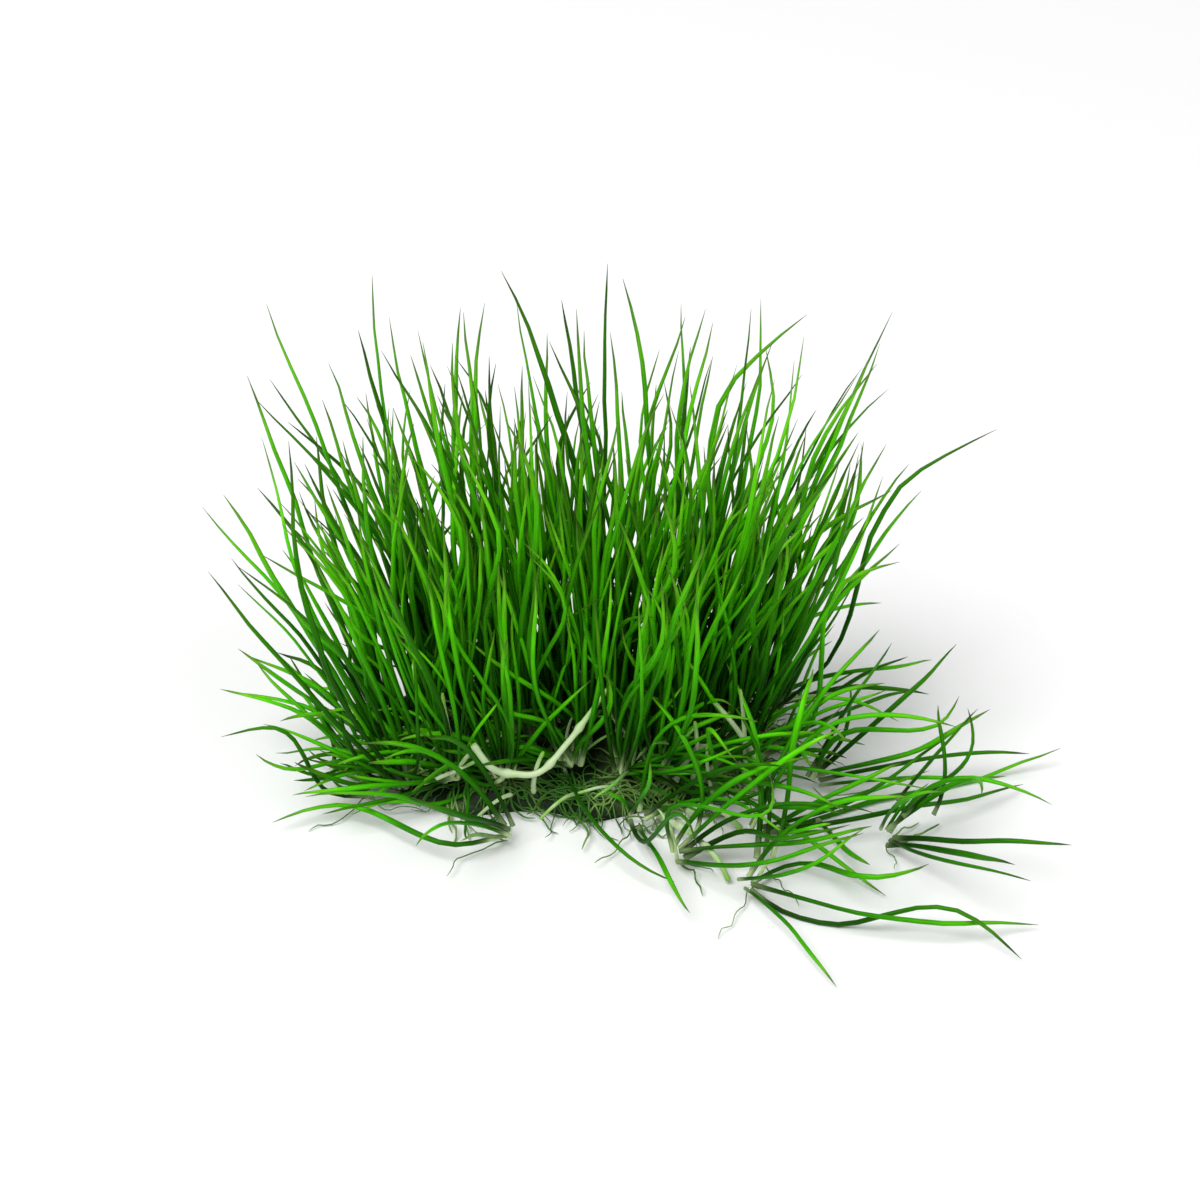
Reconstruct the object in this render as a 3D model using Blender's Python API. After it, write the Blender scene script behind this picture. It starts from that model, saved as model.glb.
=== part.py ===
"""Dwarf hairgrass: one bare-rooted clump, as lifted out of its growing cup, standing on its roots.

The clump is an assembly of three kinds of piece. A low mat of matted roots lies on the ground. Tufts
grow on it and beside it, each a small crown with a spray of needle blades grown out of it. Pale runners
creep over the mat and out to the tufts that lie beside it. All the pieces share one frame: metres, +Z
up, +X to the right of the clump's front, +Y towards its back, and the origin on the ground under the mat.
"""

import math
import random

import bmesh
import bpy
import numpy as np
from mathutils import Vector
from mathutils.bvhtree import BVHTree

MM = 0.001
UP = Vector((0, 0, 1))

# Driving dimensions of the plant
BLADE_RADIUS = 0.36 * MM        # middle of a needle blade to its edge
CROWN_RADIUS = 1.7 * MM         # the swollen foot that a tuft's blades grow from
CROWN_TOP = 1.0 * MM            # its top, above its widest place
CROWN_STUB = 2.0 * MM           # its root stub, below its widest place
CROWN_PROBES = (0, 0.25, 0.5, 0.75, 1)  # shares of the way between its corners where its gap is kept
CROWN_SPACING = 3.8 * MM        # least distance between the middles of two crowns
RUNNER_RADIUS = 0.5 * MM
MAT_HEIGHT = 4.2 * MM           # the root mat at its thickest
MAT_RIM = 1.2 * MM              # and at its edge
GAP = 0.3 * MM                  # kept between separate pieces
MAT_GAP = 0.6 * MM              # blades keep further from the lumpy top of the mat
FLOOR_GAP = 0.1 * MM            # under what lies on the floor, and between the blades of one tuft

# How a blade is drawn: its rings, as shares of its length, each with its radius, as a share of the full one
RINGS = ((0.1, 1.0), (0.4, 0.95), (0.72, 0.7))
LYING_RINGS = ((0.1, 1.0), (0.33, 1.0), (0.57, 0.85), (0.8, 0.6))
LYING_LEAN = math.radians(50)   # a tuft that leans further has the second kind

# How blades vary: length as a share of the tuft's longest (least, most and usual), lean as a share of
# the tuft's at the blade's foot and at its tip, turn of its tip to either side in degrees, and how far
# its upper half bends away to any side, in degrees
LENGTHS = (0.45, 1.0, 0.8)
FOOT_LEAN = (0.4, 0.9)
TIP_LEAN = (0.9, 1.4)
TIP_TURN = 15
CURL = 11
TOP_SEAT_SPREAD = 0.4           # the blade in a tuft's middle spreads less than the others, by this share
CROWN_LEAN = 0.5                # a crown leans less than its blades, by this share

# How room is found for them
TRIES = 40                      # shapes tried for a blade before its place stays empty
SEAT_TRIES = 5                  # of them, the shapes of a chosen long blade that are tried on one seat
WANDER = 0.06 * MM              # how much further its tip may stray with each try
SPARE_ROUNDS = 5                # more turns that a tuft gets than it wants blades
SEAT_FACING = 0.5               # a blade leaves its seat within this much of square on, as a cosine
RISEN = 0.5                     # the blades of one tuft part by this share of their first stretch
CROWN_DRAWS = 24                # places tried for a crown, of which the roomiest is kept

# The root mat's outline on the ground, round its middle, in millimetres
MAT_MIDDLE = Vector((-1, -4, 0)) * MM
MAT_OUTLINE = (
    (25, 5), (18, 13), (3, 15), (-14, 14), (-26, 7), (-29, -4), (-23, -11), (-7, -13), (8, -12.5), (19, -7),
)
MAT_SECTORS = 28
MAT_STEPS = (0.35, 0.65, 0.88, 1.0)
MAT_SLOPE = 0.6                 # how steeply its dome rises from the edge: lower is steeper
MAT_LUMPS = 0.35 * MM
MAT_RAGGED = 0.05               # how far its edge strays, as a share of its reach

# Stands of tufts on the mat: name, tufts, middle x and y, half-width and half-depth in millimetres, lean
# to the right and to the back in degrees, and the length of the longest blades in millimetres
STANDS = (
    ("front", 5, -5, -15.5, 16, 2, -3, 0, 50),
    ("left_fan", 9, -22, -8, 7, 8, -16, 10, 56),
    ("left_stand", 4, -18, 3, 6, 5, -14, 6, 54),
    ("right_fan", 8, 19, -4, 6, 10, 21, 10, 60),
    ("right_stand", 8, 9, -4, 7, 12, 11, 8, 64),
    ("middle_stand", 9, -8, -5, 6, 11, -3, 8, 66),
    ("hollow", 2, 1, 0, 2, 9, 3, 4, 46),
)
LEAN_PER_MM = 0.9               # a tuft leans this much more, in degrees, for each mm off its stand's middle
LEAN_STRAY = 5                  # and this much at most to any side, in degrees, as it pleases
SPREAD = (2, 14)                # least and most angle of a blade to its tuft's lean, in degrees
BLADES = (8, 9)
TUFT_LENGTHS = (0.78, 1.06)     # a tuft's longest blades, as a share of its stand's

# Tufts that lie loose round the mat: name, x and y in millimetres, compass heading of their blades, in
# degrees from +X, lean from upright in degrees, blades, and the length of the longest in millimetres
LOOSE_TUFTS = (
    ("loose_front_right", 19, -35, -15, 76, 6, 34),
    ("loose_right", 21, -24, 14, 76, 6, 42),
    ("loose_back_right", 29, -12, 8, 76, 6, 32),
    ("loose_far_right", 23, 3, -4, 68, 6, 24),
    ("loose_front", 10, -29, -22, 70, 7, 34),
    ("loose_left", -30.5, -15, 158, 58, 6, 26),
    ("loose_near", -12, -24, -130, 66, 6, 30),
    ("net_left", 5, -21, -50, 76, 6, 28),
    ("net_middle", 14, -14, -42, 72, 6, 36),
    ("net_front", 22, -30, 95, 74, 6, 34),
    ("net_back", 24, -5, 0, 72, 6, 24),
    ("net_far", 38, -25, -48, 76, 6, 28),
)
LOOSE_SPREAD = (4, 26)

# Long single blades that stand out: the stand they grow in, their tips' x, y and z in millimetres, and
# how far they bow up from a straight line, as a share of its length
STRAYS = (
    ("left_fan", -44, 8, 65, 0.1), ("left_fan", -47, 6, 55, 0.0), ("left_fan", -46, 2, 40, 0.05),
    ("left_fan", -44, -6, 30, -0.08), ("left_fan", -40, -6, 27, -0.06), ("left_fan", -50, 2, 14, -0.05),
    ("left_fan", -36, 4, 58, 0.05), ("left_fan", -39, -2, 46, 0.06),
    ("left_stand", -30, 8, 69, 0.04), ("left_stand", -32, 6, 62, 0.03), ("left_stand", -24, 6, 62, 0.04),
    ("left_stand", -18, 7, 64, 0.03),
    ("middle_stand", -13, 8, 70, 0.02), ("middle_stand", -15, 6, 66, 0.02),
    ("middle_stand", -11, 10, 64, 0.02), ("hollow", 1, 10, 70, 0.01), ("hollow", 3, 7, 69, 0.02),
    ("right_stand", -5, 5, 67, 0.08), ("right_stand", -2, 4, 63, 0.06), ("right_stand", 14, 10, 63, 0.04),
    ("right_stand", 20, 10, 63, 0.03), ("right_stand", 23, 8, 59, 0.04), ("right_stand", 27, 8, 62, 0.04),
    ("right_stand", 40, 8, 65, 0.06), ("right_stand", 37, 6, 60, 0.1),
    ("right_fan", 36, 4, 60, 0.05), ("right_fan", 38, 4, 56, 0.06), ("right_fan", 53, 4, 48, 0.08),
    ("right_fan", 39, 0, 41, 0.12), ("right_fan", 40, -4, 35, 0.12), ("right_fan", 35, -4, 39, 0.1),
    ("loose_far_right", 47, 11, 6, 0.12), ("loose_far_right", 41, 11, 10, 0.1),
    ("loose_right", 64, -6, 3, -0.05), ("loose_right", 58, -12, 1, 0.05), ("loose_right", 54, -26, 1, 0.08),
    ("loose_back_right", 59, -9, 4, 0.05), ("loose_back_right", 43, -4, 12, 0.08),
    ("loose_front_right", 57, -43, 1, 0.1), ("loose_front_right", 54, -50, 1, 0.08),
    ("loose_front_right", 43, -35, 5, 0.08), ("loose_front_right", 30, -56, 1, 0.1),
    ("loose_front", 5, -42, 1, 0.1), ("loose_near", 2, -35, 1, 0.1), ("loose_near", -21, -34, 1, 0.1),
    ("loose_near", -44, -22, 2, 0.1), ("loose_left", -51, 0, 8, -0.05), ("loose_left", -44, -6, 4, 0.05),
)

SHARE_OUT = 6 * MM              # each blade that a tuft has makes it seem this much further from a long one

# Runners: name, and the points that they pass through, x and y and height over the ground in millimetres
RUNNERS = (
    ("arched", ((-17, -18, 9), (-13, -19, 7.5), (-8, -19, 7.5), (-3, -17, 10), (1, -13, 13))),
    ("left", ((-24, -13, 0), (-22, -11, 3), (-19, -7, 3), (-17, -4, 0))),
    ("right", ((10, -15, 0), (13, -13, 4), (17, -12, 4), (21, -12, 0))),
    ("to_front_right", ((8, -19, 0), (11, -24, 2), (15, -30, 2), (17, -33, 0))),
    ("to_right", ((12, -18, 0), (14, -19, 2), (17, -21, 2), (19, -22, 0))),
)
RUNNER_SIDES = 5
RUNNER_RINGS = 7

GREEN = (0.035, 0.165, 0.004)   # a tuft's colour, in linear light, times a tone of its own
TONES = (0.8, 1.25)
STRAW = (0.42, 0.43, 0.24)
CREAM = (0.55, 0.66, 0.38)


def clear_scene():
    for item in list(bpy.data.objects):
        bpy.data.objects.remove(item)


def material(name, colour, roughness):
    made = bpy.data.materials.new(name)
    made.use_nodes = True
    shader = made.node_tree.nodes["Principled BSDF"]
    shader.inputs["Base Color"].default_value = (*colour, 1.0)
    shader.inputs["Roughness"].default_value = roughness
    shader.inputs["Metallic"].default_value = 0.0
    return made


def add_object(name, shape, surface, parent, smooth=False):
    """An object from a bmesh, which it uses up."""
    data = bpy.data.meshes.new(name)
    shape.to_mesh(data)
    shape.free()
    data.materials.append(surface)
    if smooth:
        data.shade_smooth()
    made = bpy.data.objects.new(name, data)
    made.parent = parent
    bpy.context.scene.collection.objects.link(made)
    return made


def through(points, share):
    """A smooth open curve through the points, at a share of its run from 0 to 1."""
    last = len(points) - 1
    i = min(int(share * last), last - 1)
    t = share * last - i
    p0, p1, p2, p3 = (points[min(max(k, 0), last)] for k in (i - 1, i, i + 1, i + 2))
    square = p0 * 2 - p1 * 5 + p2 * 4 - p3
    cube = p1 * 3 - p0 - p2 * 3 + p3
    return (p1 * 2 + (p2 - p0) * t + square * t**2 + cube * t**3) / 2


def leaning(lean, heading):
    """The direction that leans this far from upright towards this heading, both in radians."""
    return Vector((math.sin(lean) * math.cos(heading), math.sin(lean) * math.sin(heading), math.cos(lean)))


class Thicket:
    """What stands where: each piece as round-ended rods, which new pieces are kept clear of."""

    def __init__(self):
        self.starts = np.empty((0, 3))
        self.ends = np.empty((0, 3))
        self.radii = np.empty(0)
        self.owners = np.empty(0, int)

    def add(self, points, radii, owner):
        points = np.array(points)
        self.starts = np.vstack((self.starts, points[:-1]))
        self.ends = np.vstack((self.ends, points[1:]))
        self.radii = np.append(self.radii, radii)
        self.owners = np.append(self.owners, np.full(len(radii), owner))

    def room(self, points, radii, gap, chosen):
        """Whether the rods along the points keep the gap from all chosen rods."""
        if not chosen.any():
            return True
        points = np.array(points)
        starts, runs = points[:-1, None], np.diff(points, axis=0)[:, None]
        others, their_runs = self.starts[chosen][None], (self.ends - self.starts)[chosen][None]
        apart = starts - others
        a = (runs * runs).sum(-1) + 1e-18
        e = (their_runs * their_runs).sum(-1) + 1e-18
        b = (runs * their_runs).sum(-1)
        c = (runs * apart).sum(-1)
        f = (their_runs * apart).sum(-1)
        s = np.clip((b * f - c * e) / np.maximum(a * e - b * b, 1e-18), 0, 1)
        t = np.clip((b * s + f) / e, 0, 1)
        s = np.clip((b * t - c) / a, 0, 1)
        nearest = apart + runs * s[..., None] - their_runs * t[..., None]
        needed = np.array(radii)[:, None] + self.radii[chosen][None] + gap
        return bool((np.linalg.norm(nearest, axis=-1) >= needed).all())


class Ground:
    """The floor with the root mat on it, which the other pieces stand on."""

    def __init__(self, mat):
        self.tree = BVHTree.FromBMesh(mat)

    def height(self, x, y):
        hit = self.tree.ray_cast(Vector((x, y, 1)), -UP)[0]
        return hit.z if hit else 0.0

    def gap_over(self, point):
        """How far to stay from what is under this point."""
        return GAP if self.height(point.x, point.y) else FLOOR_GAP

    def lift(self, points):
        """How far to raise a piece with these points, so that it rests on the ground with its gap."""
        return max(self.height(p.x, p.y) + self.gap_over(p) - p.z for p in points)

    def clears(self, points, radius):
        """Whether a blade along these points stays above the ground, between them too."""
        for a, b in zip(points, points[1:]):
            for t in (0.25, 0.5, 0.75, 1.0):
                p = a.lerp(b, t)
                height = self.height(p.x, p.y)
                gap = MAT_GAP if height else FLOOR_GAP
                if p.z - radius < height + gap:
                    return False
        return True


def mat_reach(angle):
    """The root mat's reach from its middle at this angle, on the smooth closed curve through its outline."""
    reaches = sorted((math.atan2(y, x) % math.tau, math.hypot(x, y)) for x, y in MAT_OUTLINE)
    angles = [a for a, _ in reaches]
    lengths = [r for _, r in reaches]
    count = len(reaches)
    k = sum(1 for a in angles if a <= angle % math.tau) - 1
    start = angles[k] if k >= 0 else angles[-1] - math.tau
    end = angles[k + 1] if k + 1 < count else angles[0] + math.tau
    t = (angle % math.tau - start) / (end - start)
    t = t * t * (3 - 2 * t)
    return (lengths[k] * (1 - t) + lengths[(k + 1) % count] * t) * MM


def root_mat(rng):
    """A low pad of matted roots: flat underneath, domed and lumpy on top, with a ragged edge."""
    mat = bmesh.new()
    rings = []
    for step in MAT_STEPS:
        ring = []
        dome = (MAT_HEIGHT - MAT_RIM) * (1 - step**2) ** MAT_SLOPE
        for k in range(MAT_SECTORS):
            angle = math.tau * k / MAT_SECTORS
            reach = mat_reach(angle) * step * (1 + rng.uniform(-MAT_RAGGED, MAT_RAGGED) * step)
            height = MAT_RIM + dome + rng.uniform(-MAT_LUMPS, MAT_LUMPS)
            spot = Vector((reach * math.cos(angle), reach * math.sin(angle), height))
            ring.append(mat.verts.new(MAT_MIDDLE + spot))
        rings.append(ring)
    foot = []
    for top in rings[-1]:
        foot.append(mat.verts.new((top.co.x, top.co.y, 0)))
    rings.append(foot)
    middle = mat.verts.new(MAT_MIDDLE + UP * MAT_HEIGHT)
    under = mat.verts.new(MAT_MIDDLE)
    for k in range(MAT_SECTORS):
        n = (k + 1) % MAT_SECTORS
        mat.faces.new((middle, rings[0][k], rings[0][n]))
        mat.faces.new((under, foot[n], foot[k]))
        for inner, outer in zip(rings, rings[1:]):
            mat.faces.new((inner[k], outer[k], outer[n]))
            mat.faces.new((inner[k], outer[n], inner[n]))
    return mat


def tube(points, radius, sides):
    """A closed round tube along the points."""
    shape = bmesh.new()
    rings = []
    for i, point in enumerate(points):
        along = (points[min(i + 1, len(points) - 1)] - points[max(i - 1, 0)]).normalized()
        across = along.cross(UP).normalized()
        above = across.cross(along)
        ring = []
        for k in range(sides):
            angle = math.tau * k / sides
            offset = across * math.cos(angle) + above * math.sin(angle)
            ring.append(shape.verts.new(point + offset * radius))
        rings.append(ring)
    for a, b in zip(rings, rings[1:]):
        for k in range(sides):
            n = (k + 1) % sides
            shape.faces.new((a[k], a[n], b[n], b[k]))
    shape.faces.new(list(reversed(rings[0])))
    shape.faces.new(rings[-1])
    bmesh.ops.triangulate(shape, faces=shape.faces)
    bmesh.ops.recalc_face_normals(shape, faces=shape.faces)
    return shape


def runner_path(plan, ground):
    """A runner's points: from end to end, each at its height over the ground."""
    turns = [Vector(turn) * MM for turn in plan]
    points = []
    for i in range(RUNNER_RINGS):
        share = i / (RUNNER_RINGS - 1)
        p = through(turns, share)
        steps = (-2 * RUNNER_RADIUS, 0, 2 * RUNNER_RADIUS)
        near = [p + Vector((dx, dy, 0)) for dx in steps for dy in steps]
        top = max(ground.height(q.x, q.y) + ground.gap_over(q) for q in near)
        p.z = max(p.z, 0) + top + RUNNER_RADIUS * 1.1
        points.append(p)
    return points


class Tuft:
    """A crown, and the blades that have found room on it."""

    def __init__(self, name, group, place, lean, heading, blades, longest, rng):
        self.name = name
        self.group = group
        self.lean = lean
        self.heading = heading
        self.wanted = blades
        self.longest = longest
        self.blades = {}
        self.shape = bmesh.new()
        turn = rng.uniform(0, math.tau)
        tilt = UP.rotation_difference(leaning(lean * CROWN_LEAN, heading))
        self.middle = Vector(place)
        self.widest = [self.corner(tilt, turn + math.tau * k / 6, 1.0, 0) for k in range(6)]
        self.top = [self.corner(tilt, turn + math.tau * k / 3, 0.5, CROWN_TOP) for k in range(3)]
        self.stub = self.corner(tilt, 0, 0, -CROWN_STUB)

    def corner(self, tilt, angle, share, height):
        reach = CROWN_RADIUS * share
        offset = Vector((reach * math.cos(angle), reach * math.sin(angle), height))
        return self.shape.verts.new(self.middle + tilt @ offset)

    def rest_on(self, ground):
        """Lowers or raises the crown to the ground, and closes its faces."""
        under = []
        for a in self.widest:
            for b in (self.stub, *self.widest):
                under += [a.co.lerp(b.co, t) for t in CROWN_PROBES]
        rise = UP * ground.lift(under)
        for v in self.shape.verts:
            v.co += rise
        self.middle += rise
        w, t = self.widest, self.top
        self.seats = [self.shape.faces.new(t)]
        for k in range(3):
            n = (k + 1) % 3
            a, b, c = w[2 * k], w[2 * k + 1], w[2 * n]
            for corners in ((b, t[n], t[k]), (a, b, t[k]), (b, c, t[n])):
                self.seats.append(self.shape.faces.new(corners))
        for k in range(6):
            self.shape.faces.new((w[(k + 1) % 6], w[k], self.stub))
        self.shape.normal_update()

    def free_seats(self):
        return [k for k in range(len(self.seats)) if k not in self.blades]


def bezier(a, b, c, t):
    return a * (1 - t) ** 2 + b * (2 * t * (1 - t)) + c * t**2


def blade_points(foot, bend, tip, rings):
    return [foot] + [bezier(foot, bend, tip, share) for share, _ in rings] + [tip]


def rod_radii(rings):
    """The radius of each stretch of a blade past its first ring, at its thicker end."""
    return [BLADE_RADIUS * size for _, size in rings] + [BLADE_RADIUS * rings[-1][1]]


def settle(thicket, ground, tuft, owner, seat, bend, tip):
    """Gives the tuft a blade on this seat, if it clears all that has grown so far."""
    rings = LYING_RINGS if tuft.lean > LYING_LEAN else RINGS
    foot = tuft.seats[seat].calc_center_median()
    for p in (bend, tip):
        p.z = max(p.z, BLADE_RADIUS + 2 * FLOOR_GAP)
    points = blade_points(foot, bend, tip, rings)
    radii = rod_radii(rings)
    if (points[1] - foot).normalized().dot(tuft.seats[seat].normal) < SEAT_FACING:
        return False
    if not ground.clears(points, BLADE_RADIUS):
        return False
    mine = thicket.owners == owner
    if not thicket.room(points, radii, GAP, ~mine):
        return False
    risen = [foot.lerp(points[1], RISEN), *points[1:]]
    if not thicket.room(risen, radii, FLOOR_GAP, mine):
        return False
    tuft.blades[seat] = (points, rings)
    thicket.add(risen, radii, owner)
    return True


def grow_stray(thicket, ground, tuft, owner, tip, bow, rng):
    """One long blade to a chosen tip, on the free seat that faces it best."""
    seats = sorted(
        tuft.free_seats(), key=lambda k: -tuft.seats[k].normal.dot((tip - tuft.middle).normalized())
    )
    for attempt in range(TRIES):
        seat = seats[attempt // SEAT_TRIES % len(seats)]
        foot = tuft.seats[seat].calc_center_median()
        end = tip + Vector([rng.uniform(-1, 1) for _ in range(3)]) * attempt * WANDER
        rise = UP * bow * rng.uniform(0.8, 1.2) * (end - foot).length
        bend = foot.lerp(end, rng.uniform(0.4, 0.5)) + rise
        if settle(thicket, ground, tuft, owner, seat, bend, end):
            return


def grow_blade(thicket, ground, tuft, owner, spread, rng):
    """One blade in the tuft's own lean, spread outwards from its seat."""
    seat = rng.choice(tuft.free_seats())
    foot = tuft.seats[seat].calc_center_median()
    facing = tuft.seats[seat].normal
    for _ in range(TRIES):
        length = tuft.longest * rng.triangular(*LENGTHS)
        turned = tuft.heading + math.radians(rng.uniform(-TIP_TURN, TIP_TURN))
        low = leaning(tuft.lean * rng.uniform(*FOOT_LEAN), tuft.heading)
        high = leaning(tuft.lean * rng.uniform(*TIP_LEAN), turned)
        curl = Vector([rng.uniform(-1, 1) * math.radians(CURL) for _ in range(2)] + [0])
        high = (high + curl).normalized()
        out = (facing - low * facing.dot(low)).normalized()
        angle = math.radians(rng.uniform(*spread)) * (TOP_SEAT_SPREAD if seat == 0 else 1)
        start = low * math.cos(angle) + out * math.sin(angle)
        end = high * math.cos(angle) + out * math.sin(angle)
        bend = foot + start * length / 2
        if settle(thicket, ground, tuft, owner, seat, bend, bend + end * length / 2):
            return


def draw_blades(tuft):
    """Extrudes each blade from its seat: ring by ring along its path, to a point."""
    shape = tuft.shape
    for seat, (points, rings) in tuft.blades.items():
        face = tuft.seats[seat]
        corners = list(face.verts)
        foot = points[0]
        offsets = [v.co - foot for v in corners]
        facing = face.normal.copy()
        shape.faces.remove(face)
        last = corners
        for i, (_, size) in enumerate(rings, 1):
            along = (points[i + 1] - points[i - 1]).normalized()
            turn = facing.rotation_difference(along)
            ring = []
            for offset in offsets:
                ring.append(shape.verts.new(points[i] + (turn @ offset).normalized() * BLADE_RADIUS * size))
            join(shape, last, ring)
            last = ring
        tip = shape.verts.new(points[-1])
        for k in range(3):
            shape.faces.new((last[k], last[(k + 1) % 3], tip))


def join(shape, low, high):
    for k in range(3):
        n = (k + 1) % 3
        shape.faces.new((low[k], low[n], high[n]))
        shape.faces.new((low[k], high[n], high[k]))


def crown_room(thicket, place):
    return thicket.room([place, place + UP * 1e-6], [CROWN_RADIUS], GAP, thicket.radii > 0)


def place_stand(stand, crowns, thicket, ground, rng):
    """The tufts of one stand, scattered evenly over its ground and leaning outwards from its middle."""
    name, count, x, y, half_width, half_depth, right, back, longest = stand
    tufts = []
    for number in range(1, count + 1):
        best, room = None, CROWN_SPACING
        for _ in range(CROWN_DRAWS):
            reach, angle = math.sqrt(rng.random()), rng.uniform(0, math.tau)
            dx, dy = reach * math.cos(angle) * half_width, reach * math.sin(angle) * half_depth
            place = Vector((x + dx, y + dy, 0)) * MM
            place.z = ground.height(place.x, place.y) + GAP + CROWN_STUB
            apart = min((math.dist(place.xy, c.xy) for c in crowns), default=1)
            if apart > room and crown_room(thicket, place):
                best, room = (place, dx, dy), apart
        if best is None:
            continue
        place, dx, dy = best
        crowns.append(place)
        stray = [rng.uniform(-LEAN_STRAY, LEAN_STRAY) for _ in range(2)]
        right_slope = math.tan(math.radians(right + LEAN_PER_MM * dx + stray[0]))
        back_slope = math.tan(math.radians(back + LEAN_PER_MM * dy + stray[1]))
        upwards = Vector((right_slope, back_slope, 1))
        lean, heading = UP.angle(upwards), math.atan2(upwards.y, upwards.x)
        blades = rng.randint(*BLADES)
        length = longest * rng.uniform(*TUFT_LENGTHS) * MM
        tufts.append(Tuft(f"{name}_{number}", name, place, lean, heading, blades, length, rng))
    return tufts


def build():
    clear_scene()
    rng = random.Random(11)
    clump = bpy.data.objects.new("dwarf_hairgrass", None)
    bpy.context.scene.collection.objects.link(clump)
    straw = material("pale_roots", STRAW, 0.7)
    cream = material("pale_runner", CREAM, 0.4)

    mat = root_mat(rng)
    ground = Ground(mat)
    add_object("root_mat", mat, straw, clump)

    thicket = Thicket()
    for k, (name, plan) in enumerate(RUNNERS):
        path = runner_path(plan, ground)
        add_object(f"runner_{name}", tube(path, RUNNER_RADIUS, RUNNER_SIDES), cream, clump, smooth=True)
        thicket.add(path, [RUNNER_RADIUS] * (len(path) - 1), -1 - k)

    tufts = []
    crowns = []
    for name, x, y, heading, lean, blades, longest in LOOSE_TUFTS:
        place = Vector((x, y, 0)) * MM
        crowns.append(place)
        lean, heading = math.radians(lean), math.radians(heading)
        tufts.append(Tuft(name, name, place, lean, heading, blades, longest * MM, rng))
    for stand in STANDS:
        tufts += place_stand(stand, crowns, thicket, ground, rng)
    for owner, tuft in enumerate(tufts):
        tuft.rest_on(ground)
        thicket.add([tuft.middle, tuft.middle + UP * 1e-6], [CROWN_RADIUS], owner)

    for group, x, y, z, bow in STRAYS:
        tip = Vector((x, y, z)) * MM
        near = [t for t in tufts if t.group == group and len(t.blades) < t.wanted]
        tuft = min(near, key=lambda t: (t.middle - tip).length + SHARE_OUT * len(t.blades))
        grow_stray(thicket, ground, tuft, tufts.index(tuft), tip, bow, rng)
    for _ in range(max(t.wanted for t in tufts) + SPARE_ROUNDS):
        for owner, tuft in enumerate(tufts):
            if len(tuft.blades) < tuft.wanted:
                spread = LOOSE_SPREAD if tuft.group == tuft.name else SPREAD
                grow_blade(thicket, ground, tuft, owner, spread, rng)

    for tuft in tufts:
        draw_blades(tuft)
        tone = rng.uniform(*TONES)
        green = material(f"{tuft.name}_green", [part * tone for part in GREEN], 0.42)
        add_object(f"tuft_{tuft.name}", tuft.shape, green, clump)


build()
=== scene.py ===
"""Dwarf hairgrass: one bare-rooted clump of needle blades, with its runners and roots, on a pale floor."""

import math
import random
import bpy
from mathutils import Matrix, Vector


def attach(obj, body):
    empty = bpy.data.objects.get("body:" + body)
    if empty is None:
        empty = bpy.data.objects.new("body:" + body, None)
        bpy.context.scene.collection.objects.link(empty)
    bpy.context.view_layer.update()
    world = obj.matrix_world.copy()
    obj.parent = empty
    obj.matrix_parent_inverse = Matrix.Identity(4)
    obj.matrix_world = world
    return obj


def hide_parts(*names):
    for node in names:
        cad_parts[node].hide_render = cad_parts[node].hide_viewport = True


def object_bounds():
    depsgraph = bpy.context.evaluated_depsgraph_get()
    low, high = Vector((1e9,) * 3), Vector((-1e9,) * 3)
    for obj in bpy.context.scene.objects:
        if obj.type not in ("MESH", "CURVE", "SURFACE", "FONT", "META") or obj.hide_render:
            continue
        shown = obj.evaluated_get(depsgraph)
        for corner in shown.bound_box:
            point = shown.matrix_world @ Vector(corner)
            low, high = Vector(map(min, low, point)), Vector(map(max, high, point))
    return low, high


bl_info = {
    "name": "Dwarf hairgrass clump",
    "version": (1, 0, 0),
    "blender": (4, 5, 0),
    "location": "3D View > Sidebar > Hairgrass",
    "description": "Grows the blades, runners and roots of a clump of hairgrass on its solid tufts",
    "category": "Object",
}

from types import SimpleNamespace as Kind

import bmesh
import bpy
from bpy.props import FloatProperty, FloatVectorProperty, IntProperty, PointerProperty
from mathutils import Vector, noise
from mathutils.bvhtree import BVHTree

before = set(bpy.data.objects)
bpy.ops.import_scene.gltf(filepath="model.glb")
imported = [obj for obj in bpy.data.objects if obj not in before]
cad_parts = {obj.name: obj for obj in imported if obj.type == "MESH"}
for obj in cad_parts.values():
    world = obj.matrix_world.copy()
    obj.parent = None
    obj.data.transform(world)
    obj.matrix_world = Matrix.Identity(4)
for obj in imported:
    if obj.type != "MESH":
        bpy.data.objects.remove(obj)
SOLID_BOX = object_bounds()

MM = 0.001
UP = Vector((0, 0, 1))
BODY = "root"

MAT = "root_mat"
TUFTS = sorted(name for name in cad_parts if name.startswith("tuft_"))
RUNNERS = sorted(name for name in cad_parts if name.startswith("runner_"))
LYING = ("tuft_loose", "tuft_net")

# How the solids are read
WELD = 2e-6            # corners closer than this are one
RING_EDGE = 1.0 * MM   # rings of blades and runners have shorter edges than this, and crowns longer ones
BLADE_CORNERS = 3
RUNNER_CORNERS = 5
BEND_RING = {4: 0.4, 5: 0.33}  # rings above a blade's seat, with its tip: its curve's share at the second
SAME_PLACE = 6         # decimals of a metre at which two tips count as level when blades are put in order

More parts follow.
